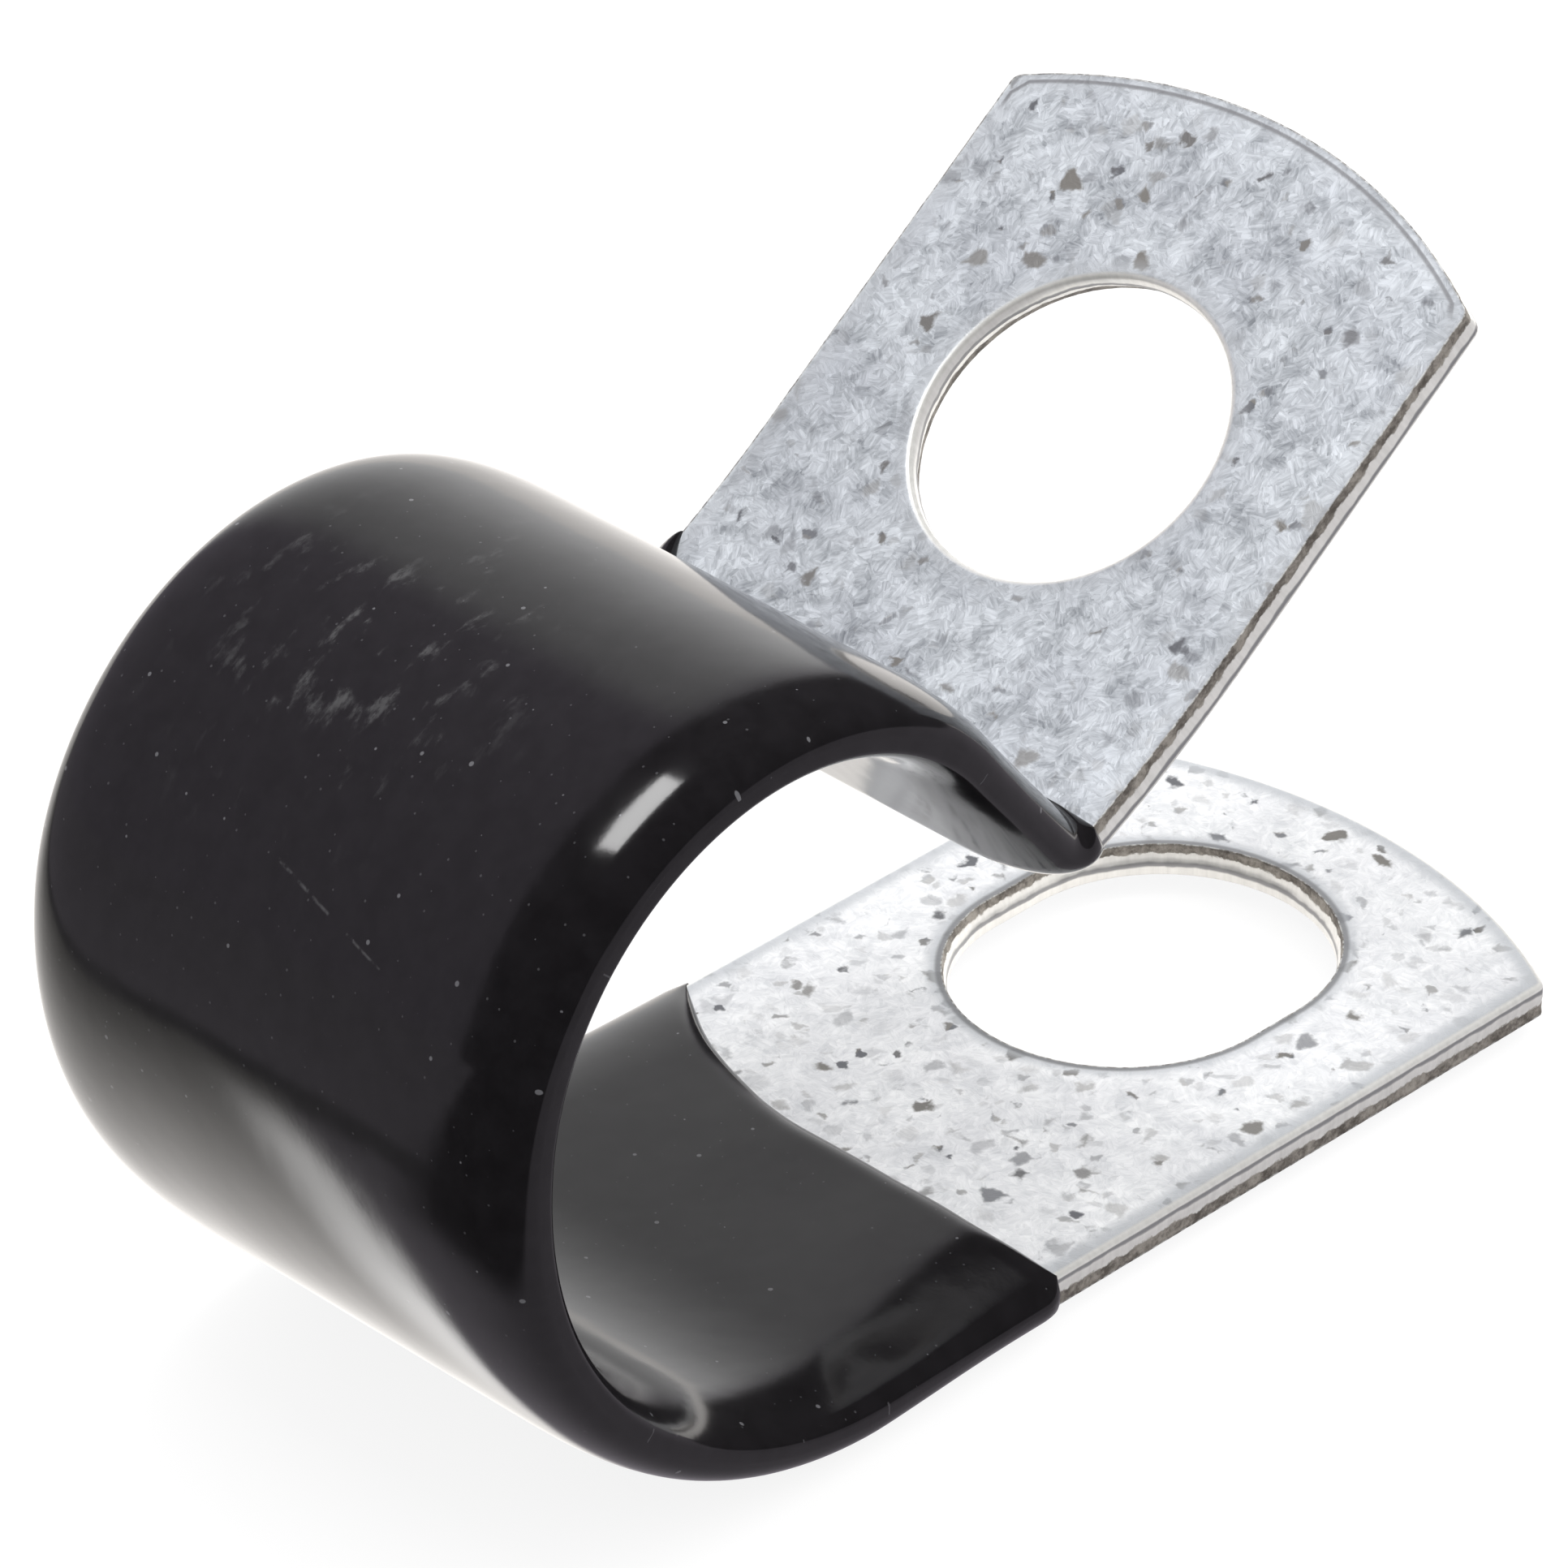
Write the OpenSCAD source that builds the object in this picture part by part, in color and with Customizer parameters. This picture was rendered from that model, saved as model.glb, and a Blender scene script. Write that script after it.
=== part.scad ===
// Loom clip: a flat steel strap bent into a loop, with a bolt ear at each end and
// a dipped vinyl coating round the loop. It is drawn sprung open, as it lies
// before a bolt through both ears closes it on a wiring loom.
// The origin is on the axis of the loop's upper bend, halfway across the strap.
// X runs along the lower ear to its end, Y across the strap and Z up.

/* [Strap] */
// Width of the strap
strap_w = 12.7; // [9:0.1:18]
// Thickness of the steel
steel_t = 0.75; // [0.5:0.05:1.2]

/* [Loop] */
// Inside radius of the steel in the loop's lower bend
lower_bend_r = 8.75; // [6.5:0.05:12]
// Angle that the lower bend turns through
lower_turn = 97.5; // [80:0.5:110]
// Inside radius of the steel in the loop's upper bend
upper_bend_r = 6.3; // [4:0.05:8.5]
// Angle that the upper bend turns through
upper_turn = 135; // [110:0.5:150]
// Straight stretch from the upper bend down to the reverse bend
dive_len = 3.85; // [1:0.05:6]
// Radius left open in the coated valley of the reverse bend
valley_r = 0.2; // [0.05:0.05:2]

/* [Ears] */
// Angle of the upper ear above the lower ear
ear_angle = 35.6; // [0:0.1:60]
// Angle of the soft bend at the upper ear's root, which the open clip is sprung to
root_turn = 9; // [2:0.5:15]
// Radius of that soft bend, at the middle of the steel
root_r = 29; // [15:1:60]
// Radius of the arc that ends each ear
end_r = 13; // [10:0.1:30]
// Distance of that arc's centre from the middle of the strap, towards +Y
end_offset = 0.45; // [0:0.05:1]
// Distance from the loop's lowest line to the slot's centre
lower_reach = 14.8; // [12:0.1:25]
// Distance from the slot's centre to the end of the lower ear
lower_end = 6.9; // [6:0.1:12]
// Distance from the reverse bend to the round hole's centre
upper_reach = 7.1; // [6:0.1:14]
// Distance from the round hole's centre to the end of the upper ear
upper_end = 7.55; // [6:0.05:12]

/* [Holes] */
// Diameter of the round hole in the upper ear
hole_d = 7; // [4:0.1:8]
// Width of the slot in the lower ear
slot_w = 7.25; // [4:0.05:8]
// How much longer than wide the slot is
slot_play = 1.3; // [0.2:0.1:2]
// Distance of the slot from the middle of the strap, towards +Y
slot_offset = 0.35; // [0:0.05:0.6]

/* [Vinyl] */
// Thickness of the coating on the faces of the strap
vinyl_t = 0.4; // [0.2:0.05:0.8]
// Thickness of the coating over the edges of the strap
rim_t = 0.6; // [0.2:0.05:0.8]
// Height of the flat between the two rounds of a rim
rim_flat = 0.1; // [0.05:0.05:0.4]
// Distance from the loop's lowest line to the coating's end on the lower ear
lower_dip = 5.35; // [3:0.05:8]
// Width of the corner where the coating creeps along the lower ear's +Y edge
creep_w = 5.2; // [2:0.05:6]
// How far the coating creeps along that edge
creep_len = 2.2; // [0.5:0.05:2.5]
// Distance from the reverse bend to the coating's end on the upper ear, at mid width
upper_dip = 0.75; // [0.4:0.05:1.5]
// Angle at which that end slants, forward towards +Y
dip_slant = 7; // [0:0.5:10]

/* [Hidden] */
$fn = 96;
// Overrun of the cutting shapes past the faces that they cut
over = 0.1;
// Neighbouring stretches join into one solid: one runs this far into the other,
// and one of the two is fuller by a hair on every side
lap = 0.05;
hair = 0.01;

// Section of the coated strap
coat_t = steel_t + 2 * vinyl_t;
coat_w = strap_w + 2 * rim_t;
rim_r = (coat_t - rim_flat) / 2;

// Middle line of the strap, in the XZ plane
lower_r = lower_bend_r + steel_t / 2;
upper_r = upper_bend_r + steel_t / 2;
reverse_r = valley_r + vinyl_t + steel_t / 2;
join_angle = 270 - lower_turn;
dive_angle = lower_turn + upper_turn - 180;
lower_centre = (upper_r - lower_r) * along(join_angle);
lower_start = lower_centre - [0, lower_r];
dive_start = upper_r * along(90 - dive_angle);
dive_end = dive_start + dive_len * along(-dive_angle);
reverse_centre = dive_end + reverse_r * along(90 - dive_angle);
root_angle = ear_angle - root_turn;
root_len = root_r * root_turn * PI / 180;
root_start = reverse_centre - reverse_r * along(90 + root_angle);
root_centre = root_start + root_r * along(90 + root_angle);
upper_start = root_centre - root_r * along(90 + ear_angle);

// Arc of the coating's creeping corner on the lower ear
creep_r = (pow(creep_w, 2) + pow(creep_len, 2)) / (2 * creep_len);
creep_y = strap_w / 2 - creep_w;

// Unit vector at an angle from X towards Z
function along(angle) = [cos(angle), sin(angle)];

// Sections, grown by some hairs on every side: thickness along X, width along Y
module strap_section(hairs) {
    grow = 2 * hairs * hair;
    square([steel_t + grow, strap_w + grow], center = true);
}

module coat_section(hairs) {
    grow = hairs * hair;
    square([coat_t + 2 * grow, coat_w - 2 * rim_r], center = true);
    square([rim_flat, coat_w + 2 * grow], center = true);
    for (x = [-1, 1], y = [-1, 1])
        translate([x * rim_flat / 2, y * (coat_w / 2 - rim_r)])
            circle(rim_r + grow);
}

module section(coated, hairs) {
    if (coated)
        coat_section(hairs);
    else
        strap_section(hairs);
}

// Sweeps of a section: round an axis parallel to Y, and straight ahead
module bend(centre, radius, start, turn) {
    translate([centre.x, 0, centre.y])
        rotate([90, 0, 0])
            rotate(start)
                rotate_extrude(angle = turn)
                    translate([radius, 0])
                        children();
}

module at_station(station, heading) {
    translate([station.x, 0, station.y])
        rotate([0, -heading, 0])
            children();
}

module run(station, heading, length) {
    at_station(station, heading)
        rotate([90, 0, 90])
            linear_extrude(length)
                rotate(90)
                    children();
}

// The bent stretch, bare or coated, from the lower ear to the upper ear's root
module bent_stretch(coated) {
    lap_angle = lap / upper_r * 180 / PI;
    bend(lower_centre, lower_r, join_angle, lower_turn)
        section(coated, 1);
    bend([0, 0], upper_r, 90 - dive_angle - lap_angle, upper_turn + 2 * lap_angle)
        section(coated, 0);
    run(dive_start, -dive_angle, dive_len + lap)
        section(coated, 1);
    bend(reverse_centre, reverse_r, 270 - dive_angle, dive_angle + root_angle)
        section(coated, 2);
}

// The first part of the soft bend at the upper ear's root, bare or coated
module root_bend(coated, length) {
    turn = (length + lap) / root_r * 180 / PI;
    lap_angle = lap / root_r * 180 / PI;
    bend(root_centre, root_r, 270 + root_angle - lap_angle, turn)
        section(coated, 1);
}

// Flat ear from its root line at X = 0, with an arc for its end
module ear_outline(length) {
    half = strap_w / 2;
    shoulder = length - end_r + sqrt(pow(end_r, 2) - pow(half + end_offset, 2));
    translate([-lap, -half])
        square([shoulder + lap, strap_w]);
    intersection() {
        translate([length - end_r, end_offset])
            circle(end_r);
        translate([shoulder, -half])
            square([length - shoulder, strap_w]);
    }
}

module slot_outline() {
    square([slot_play, slot_w], center = true);
    for (side = [-1, 1])
        translate([side * slot_play / 2, 0])
            circle(d = slot_w);
}

module lower_ear() {
    at_station(lower_start, 0)
        linear_extrude(steel_t, center = true)
            difference() {
                ear_outline(lower_reach + lower_end);
                translate([lower_reach, slot_offset])
                    slot_outline();
            }
}

// The round hole reaches back into the soft bend
module upper_ear() {
    hole_x = upper_reach - root_len;
    difference() {
        union() {
            root_bend(false, root_len);
            at_station(upper_start, ear_angle)
                linear_extrude(steel_t, center = true)
                    ear_outline(hole_x + upper_end);
        }
        at_station(upper_start, ear_angle)
            translate([hole_x, 0, 0])
                linear_extrude(2 * steel_t, center = true)
                    circle(d = hole_d);
    }
}

// What is cut away past the coating's end at X = 0, seen from the side,
// so that the end is rounded down to both faces of the steel
module end_waste(length) {
    difference() {
        translate([-vinyl_t, -coat_t / 2 - over])
            square([length + vinyl_t, coat_t + 2 * over]);
        translate([-vinyl_t, -steel_t / 2])
            square([vinyl_t, steel_t]);
        for (side = [-1, 1])
            translate([-vinyl_t, side * steel_t / 2])
                circle(vinyl_t);
    }
}

// What is cut away to round the end's corner at one edge of the strap, seen from above
module corner_waste() {
    linear_extrude(coat_t + 2 * over, center = true)
        difference() {
            translate([-rim_t, strap_w / 2])
                square([2 * rim_t, rim_t + over]);
            translate([-rim_t, strap_w / 2])
                circle(rim_t);
        }
}

// Ends of the coating: along the lower ear it runs straight across the strap
// and then creeps forward in an arc, and on the upper ear it runs aslant
module lower_end_waste() {
    straight_w = creep_y + lap + coat_w / 2 + over;
    // The arc cuts a hair deeper than the straight cut, which laps into it
    arc_r = creep_r + hair;
    at_station(lower_start, 0)
        translate([lower_dip, 0, 0]) {
            translate([0, creep_y + lap, 0])
                rotate([90, 0, 0])
                    linear_extrude(straight_w)
                        end_waste(creep_r + over);
            translate([creep_r, creep_y, 0])
                rotate(90)
                    rotate_extrude(angle = 90)
                        translate([arc_r, 0])
                            rotate(180)
                                end_waste(creep_r);
            mirror([0, 1, 0])
                corner_waste();
        }
}

module upper_end_waste() {
    slant_x = strap_w / 2 * tan(dip_slant);
    at_station(root_start, root_angle)
        translate([upper_dip, 0, 0]) {
            rotate(-dip_slant)
                rotate([90, 0, 0])
                    linear_extrude(2 * coat_w, center = true)
                        end_waste(strap_w);
            translate([slant_x, 0, 0])
                corner_waste();
            translate([-slant_x, 0, 0])
                mirror([0, 1, 0])
                    corner_waste();
        }
}

// One blanked and bent strip of galvanised steel
module steel_strap() {
    color("silver") {
        bent_stretch(false);
        lower_ear();
        upper_ear();
    }
}

// The dipped skin, closed round both edges of the strap and open at both ends
module vinyl_coating() {
    color([0.14, 0.13, 0.15])
        difference() {
            union() {
                bent_stretch(true);
                // The clip rests on this stretch, so it is fuller than the lower bend
                run(lower_start - [lap, 0], 0, lower_dip + creep_r - over)
                    coat_section(2);
                root_bend(true, upper_dip + coat_w / 2 * tan(dip_slant) + over);
            }
            steel_strap();
            lower_end_waste();
            upper_end_waste();
        }
}

steel_strap();
vinyl_coating();
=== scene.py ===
# %% [markdown]
# # A loom clip, dipped in vinyl
# A loom clip is a flat strip of galvanised steel, blanked and punched in a press, bent into
# a loop, and dipped in black vinyl between its two bolt ears. The CAD part gives its sizes.
# This lesson makes the two pieces again with the detail that a close photograph shows:
# sheared edges, a spangled zinc coat and a soft dipped skin.

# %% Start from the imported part
import math

import bmesh
import bpy
from mathutils import Matrix, Vector, noise
from mathutils.geometry import delaunay_2d_cdt


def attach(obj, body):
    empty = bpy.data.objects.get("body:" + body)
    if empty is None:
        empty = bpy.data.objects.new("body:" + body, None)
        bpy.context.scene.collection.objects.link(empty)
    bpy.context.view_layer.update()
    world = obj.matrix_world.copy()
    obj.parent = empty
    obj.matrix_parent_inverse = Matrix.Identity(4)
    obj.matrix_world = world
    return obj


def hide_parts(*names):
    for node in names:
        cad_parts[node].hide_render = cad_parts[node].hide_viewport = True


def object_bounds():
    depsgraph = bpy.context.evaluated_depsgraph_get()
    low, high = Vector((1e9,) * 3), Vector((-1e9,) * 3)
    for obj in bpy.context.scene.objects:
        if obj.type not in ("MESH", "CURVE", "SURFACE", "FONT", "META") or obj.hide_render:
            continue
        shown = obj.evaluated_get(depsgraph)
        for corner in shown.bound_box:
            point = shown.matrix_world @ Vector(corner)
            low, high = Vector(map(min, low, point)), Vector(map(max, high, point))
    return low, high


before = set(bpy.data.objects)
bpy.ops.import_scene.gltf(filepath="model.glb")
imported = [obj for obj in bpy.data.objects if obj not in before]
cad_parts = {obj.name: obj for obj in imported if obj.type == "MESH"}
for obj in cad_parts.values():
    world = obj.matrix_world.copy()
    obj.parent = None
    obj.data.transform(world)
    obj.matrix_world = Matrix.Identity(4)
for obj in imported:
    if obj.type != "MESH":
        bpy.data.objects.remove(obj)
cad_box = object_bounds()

MM = 0.001
print("CAD box in mm:", [round((high - low) / MM, 2) for low, high in zip(*cad_box)])

# %% [markdown]
# ## The line that the strip is bent along
# On the real clip one press tool bends the strip over a bar. Everything follows one line,
# the middle of the steel seen from the side, so the line is walked once: straight, two
# bends that make the loop, a dive, a tight reverse bend and a soft bend at the ear's root.
# A curve drawn by hand would do, but a walk keeps every radius and angle a named value.

# %% Walk the middle line
steel_t = 0.75
strap_w = 12.7
lower_ear_len = 21.7
upper_ear_len = 10.095
lower_bend = (9.125, -97.5)
upper_bend = (6.675, -135.0)
dive_len = 3.85
reverse_bend = (0.975, 79.1)
root_bend = (29.0, 9.0)


def walk_line(heading, stretches, step=0.1, step_angle=2.5):
    """Points of the line, and how far along it each stretch starts, in mm."""
    points, starts, place, length = [Vector((0, 0))], {}, Vector((0, 0)), 0.0
    for name, size, turn in stretches:
        starts[name] = length
        reach = abs(math.radians(turn)) * size if turn else size
        count = max(2, round(reach / step), round(abs(turn) / step_angle))
        for _ in range(count):
            half = math.radians(turn) / count / 2
            heading += half
            place = place + reach / count * Vector((math.cos(heading), math.sin(heading)))
            heading += half
            points.append(place)
        length += reach
    starts["end"] = length
    return points, starts


line_points, line_starts = walk_line(math.pi, [
    ("lower_ear", lower_ear_len, 0), ("lower_bend", *lower_bend), ("upper_bend", *upper_bend),
    ("dive", dive_len, 0), ("reverse_bend", *reverse_bend), ("root_bend", *root_bend),
    ("upper_ear", upper_ear_len, 0)])
print("Line of", len(line_points), "points:", {k: round(v, 2) for k, v in line_starts.items()})

# %% [markdown]
# ## The line's place
# The part's frame has its origin on the axis of the loop's upper bend. The walk began at
# the end of the lower ear instead, so all its points are moved by one shift that follows
# from the two bends, and not by eye. The points then go into a poly curve, a line that
# Blender's nodes can read.

# %% Place the line in the part's frame
join_angle = math.radians(270 + lower_bend[1])
lower_axis = (upper_bend[0] - lower_bend[0]) * Vector((math.cos(join_angle), math.sin(join_angle)))
line_shift = lower_axis + Vector((lower_ear_len, -lower_bend[0]))
line_data = bpy.data.curves.new("strap_line", "CURVE")
line_data.dimensions = "3D"
spline = line_data.splines.new("POLY")
spline.points.add(len(line_points) - 1)
for spot, point in zip(spline.points, line_points):
    at = (point + line_shift) * MM
    spot.co = (at.x, 0, at.y, 1)
strap_line = bpy.data.objects.new("strap_line", line_data)
bpy.context.collection.objects.link(strap_line)
print("Lower ear ends at x", round(line_shift.x, 2), "mm, its middle is at z", round(line_shift.y, 2))

# %% [markdown]
# ## Bending with Geometry Nodes
# Both pieces are first made flat, as the press shop does: X runs along the strip, Y across
# it and Z through its thickness. A small node tree then reads where each point is along the
# line and lifts it off the line by its own Y and Z. A Curve modifier could bend too, but the
# tree keeps the thickness exact in the tightest bend, and both pieces share it.

# %% A wrapper that adds and links nodes in one call


class Nodes:
    """A node tree with short words for its nodes."""

    def __init__(self, tree):
        self.tree = tree

    def plug(self, value, socket):
        """Links a socket, or sets its plain value."""
        if isinstance(value, bpy.types.NodeSocket):
            self.tree.links.new(value, socket)
        else:
            opaque = socket.type == "RGBA" and len(value) == 3
            socket.default_value = (*value, 1) if opaque else value

    def add(self, kind, inputs=None, **settings):
        made = self.tree.nodes.new(kind)
        for name, value in settings.items():
            setattr(made, name, value)
        for name, value in (inputs or {}).items():
            self.plug(value, made.inputs[name])
        return made

    def vector(self, operation, first, second=(0, 0, 0)):
        return self.add("ShaderNodeVectorMath", {0: first, 1: second}, operation=operation).outputs[0]

    def parts(self, place):
        return self.add("ShaderNodeSeparateXYZ", {0: place}).outputs


bender = Nodes(bpy.data.node_groups.new("bend_along_line", "GeometryNodeTree"))
print("Empty tree:", bender.tree.name)

# %% Build the bending tree
bend_sockets = bender.tree.interface
for name, kind in (("Flat piece", "Geometry"), ("Line", "Object"), ("Finish", "Material")):
    bend_sockets.new_socket(name, in_out="INPUT", socket_type="NodeSocket" + kind)
bend_sockets.new_socket("Bent piece", in_out="OUTPUT", socket_type="NodeSocketGeometry")
asked = bender.add("NodeGroupInput").outputs
line_info = bender.add("GeometryNodeObjectInfo", {"Object": asked["Line"]})
flat_place = bender.parts(bender.add("GeometryNodeInputPosition").outputs[0])
on_line = bender.add("GeometryNodeSampleCurve", mode="LENGTH")
bender.plug(line_info.outputs["Geometry"], on_line.inputs["Curves"])
bender.plug(flat_place["X"], on_line.inputs["Length"])
outward = bender.vector("CROSS_PRODUCT", on_line.outputs["Tangent"], (0, 1, 0))
outward = bender.vector("NORMALIZE", outward)
lift = bender.add("ShaderNodeVectorMath", {0: outward, "Scale": flat_place["Z"]}, operation="SCALE")
across = bender.add("ShaderNodeCombineXYZ", {"Y": flat_place["Y"]}).outputs[0]
bent_place = bender.vector("ADD", on_line.outputs["Position"], lift.outputs[0])
bent_place = bender.vector("ADD", bent_place, across)
moved = bender.add("GeometryNodeSetPosition", {"Geometry": asked["Flat piece"], "Position": bent_place})
solid = bender.add("GeometryNodeRealizeInstances", {"Geometry": moved.outputs[0]})
finished = bender.add("GeometryNodeSetMaterial",
                      {"Geometry": solid.outputs[0], "Material": asked["Finish"]})
bender.add("NodeGroupOutput", {"Bent piece": finished.outputs[0]})
print("Bending tree of", len(bender.tree.nodes), "nodes")

# %% [markdown]
# ## The blank: outline and holes
# The strip is blanked in one stroke: two straight sides, and at each end an arc that the
# press tool left a little off centre. The corners are rounded by a hair, because no cutting
# edge stays sharp. Each loop below is a closed row of points, about a tenth of a
# millimetre apart, so that the torn edge can be ragged at its true scale.

# %% Rows of points along arcs and straights
spacing = 0.1


def arc_points(centre, radius, start, stop):
    count = max(3, round(abs(stop - start) * radius / spacing))
    angles = [start + (stop - start) * i / count for i in range(count)]
    return [(centre[0] + radius * math.cos(a), centre[1] + radius * math.sin(a)) for a in angles]


def straight_points(start, stop):
    count = max(2, round(math.dist(start, stop) / spacing))
    return [tuple(Vector(start).lerp(stop, i / count)) for i in range(count)]


print("A quarter round of 3 mm has", len(arc_points((0, 0), 3, 0, math.pi / 2)), "points")

# %% Draw the outline of the blank
end_r = 13.0
end_offset = 0.45
corner_r = 0.26
blank_len = line_starts["end"]


def corner_centre(arc_x, side, towards):
    """Centre of the little round between a straight side and an end arc."""
    y = side * (strap_w / 2 - corner_r)
    return arc_x + towards * math.sqrt((end_r - corner_r) ** 2 - (y - end_offset) ** 2), y


def blank_outline():
    """The outline, anticlockwise from the -Y corner of the lower ear's end."""
    low, high, half = end_r, blank_len - end_r, strap_w / 2
    a, b = corner_centre(low, -1, -1), corner_centre(high, -1, 1)
    c, d = corner_centre(high, 1, 1), corner_centre(low, 1, -1)
    lean = {k: math.atan2(p[1] - end_offset, p[0] - x)
            for k, p, x in (("a", a, low), ("b", b, high), ("c", c, high), ("d", d, low))}
    turn = 2 * math.pi
    return (straight_points((a[0], -half), (b[0], -half))
            + arc_points(b, corner_r, -math.pi / 2, lean["b"])
            + arc_points((high, end_offset), end_r, lean["b"], lean["c"])
            + arc_points(c, corner_r, lean["c"], math.pi / 2)
            + straight_points((c[0], half), (d[0], half))
            + arc_points(d, corner_r, math.pi / 2, lean["d"])
            + arc_points((low, end_offset), end_r, lean["d"], lean["a"] + turn)
            + arc_points(a, corner_r, lean["a"] + turn, 1.5 * math.pi))


blank_loop = blank_outline()
print("Points in the outline:", len(blank_loop))

# %% Draw the two holes
hole_to_end = 7.55
hole_at = blank_len - hole_to_end
hole_r = 3.44
slot_at = (6.9, 0.35)
slot_r = 3.6
slot_play = 1.3


def punched_loop(centre, radius, play):
    """A hole's loop, anticlockwise; with some play it is a slot along X."""
    (x, y), half = centre, play / 2
    right = arc_points((x + half, y), radius, -math.pi / 2, math.pi / 2)
    left = arc_points((x - half, y), radius, math.pi / 2, 1.5 * math.pi)
    if not play:
        return right + left
    return (right + straight_points((x + half, y + radius), (x - half, y + radius))
            + left + straight_points((x - half, y - radius), (x + half, y - radius)))


hole_loop = punched_loop((hole_at, 0), hole_r, 0)
slot_loop = punched_loop(slot_at, slot_r, slot_play)
print("Points in the hole and the slot:", len(hole_loop), len(slot_loop))

# %% [markdown]
# ## The sheared edge
# A punch first pulls the sheet's skin down into a small round, then cuts a bright smooth
# band, and at last the steel tears: a dark rough band, and a fine burr. The outline was cut
# from the inside of the clip and the holes from the outside, so on the holes the order is
# the other way round, and there the tear comes late. A bevel would only give a round, so
# each row of the edge is given as an inset and a depth, with noise where it tore.

# %% Rows of the edge, from the rolled face to the burr
half_t = steel_t / 2
# inset into the sheet, depth below the rolled face, how far the cut has gone, share of the tear
EDGE_ROWS = [
    (0.21, 0.000, 0.00, 0.0), (0.14, 0.002, 0.00, 0.0), (0.07, 0.014, 0.03, 0.0),
    (0.02, 0.045, 0.08, 0.0), (0.00, 0.100, 0.14, 0.0), (0.00, 0.220, 0.30, 0.0),
    (0.00, 0.340, 0.46, 0.0), (0.00, 0.385, 0.53, 1.0), (0.00, 0.480, 0.66, 1.0),
    (0.00, 0.580, 0.80, 1.0), (0.00, 0.680, 0.93, 1.0), (0.00, 0.750, 1.00, 0.4),
    (0.05, 0.742, 1.00, 0.0), (0.14, 0.750, 1.00, 0.0)]
tear_from = 0.34
tear_depth = 0.018
# Between these depths the border of the tear wanders up and down
wander_from, wander_to = 0.2, 0.6
wave_scale, wave_height, wave_seed = 1.3, 0.05, 7.0
rough_scale, rough_height, rough_depth_scale = 5.0, 0.03, 9.0


def loop_normals(loop, inward):
    """Unit vectors into the sheet at each point of a loop."""
    found = []
    for i in range(len(loop)):
        before, after = loop[i - 1], loop[(i + 1) % len(loop)]
        along = Vector((after[0] - before[0], after[1] - before[1])).normalized()
        found.append(Vector((-along.y, along.x)) * inward)
    return found


def edge_rows(loop, inward, rolled_z, break_out, late_tear):
    """Rings of an edge, each a list of (place, cut), from the rolled face to the torn one."""
    normals, down = loop_normals(loop, inward), -1 if rolled_z > 0 else 1
    rings = []
    for inset, depth, cut, torn in EDGE_ROWS:
        ring = []
        for (x, y), into in zip(loop, normals):
            wave = noise.noise(Vector((x * wave_scale, y * wave_scale, wave_seed)))
            rough = noise.noise(Vector((x * rough_scale, y * rough_scale, depth * rough_depth_scale)))
            wander = wave_height * wave + rough_height * rough if wander_from < depth < wander_to else 0.0
            tear = max(0.0, (depth - tear_from) / (steel_t - tear_from))
            pull = inset + break_out * tear + torn * tear_depth * (1 + rough)
            place = (Vector((x, y)) + into * pull).to_3d()
            place.z = rolled_z + down * (depth + wander)
            ring.append((place, cut ** late_tear))
        rings.append(ring)
    return rings


outline_rings = edge_rows(blank_loop, inward=1, rolled_z=-half_t, break_out=0.0, late_tear=1.5)
hole_rings = edge_rows(hole_loop, inward=-1, rolled_z=half_t, break_out=0.16, late_tear=2.6)
slot_rings = edge_rows(slot_loop, inward=-1, rolled_z=half_t, break_out=0.10, late_tear=2.6)
print("Edge rows:", len(EDGE_ROWS), "for each of 3 loops")

# %% [markdown]
# ## Filling the faces
# Between the loops lie two flat faces. One big polygon would not bend, so each face is
# filled with triangles over a grid of points that is finer where the strip is bent.
# Blender's constrained Delaunay fill takes loops and loose points together, which a grid
# fill can't. The mesh keeps some values for the finish: how far the cut has gone, how far
# a point lies from the nearest edge, which face it is on, and a flat map of the sheet.

# %% Lay the grid points of the faces
grid_step = 0.6
grid_half_rows = 10
grid_margin = 0.55
straight_step = 0.5
bend_steps = {"lower_bend": 0.35, "upper_bend": 0.3, "reverse_bend": 0.1}
far_off = 99.0


def grid_stations():
    """Places along the strip for a row of grid points: closer in the bends."""
    found, names = [], list(line_starts)
    for name, after in zip(names, names[1:]):
        reach = line_starts[after] - line_starts[name]
        count = max(1, round(reach / bend_steps.get(name, straight_step)))
        found += [line_starts[name] + reach * i / count for i in range(count)]
    return found


def edge_distance(x, y):
    """How far a point of the sheet lies from its nearest cut edge; negative outside."""
    low = end_r - math.hypot(x - end_r, y - end_offset) if x < end_r else far_off
    high_x = blank_len - end_r
    high = end_r - math.hypot(x - high_x, y - end_offset) if x > high_x else far_off
    run = x - slot_at[0] - max(-slot_play / 2, min(slot_play / 2, x - slot_at[0]))
    slot = math.hypot(run, y - slot_at[1]) - slot_r
    return min(low, high, strap_w / 2 - abs(y), math.hypot(x - hole_at, y) - hole_r, slot)


grid_rows = [grid_step * i for i in range(-grid_half_rows, grid_half_rows + 1)]
grid_points = [(x, y) for x in grid_stations() for y in grid_rows if edge_distance(x, y) > grid_margin]
print("Grid points inside the sheet:", len(grid_points))

# %% Fill one face with triangles
fill_weld = 1e-5


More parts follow.
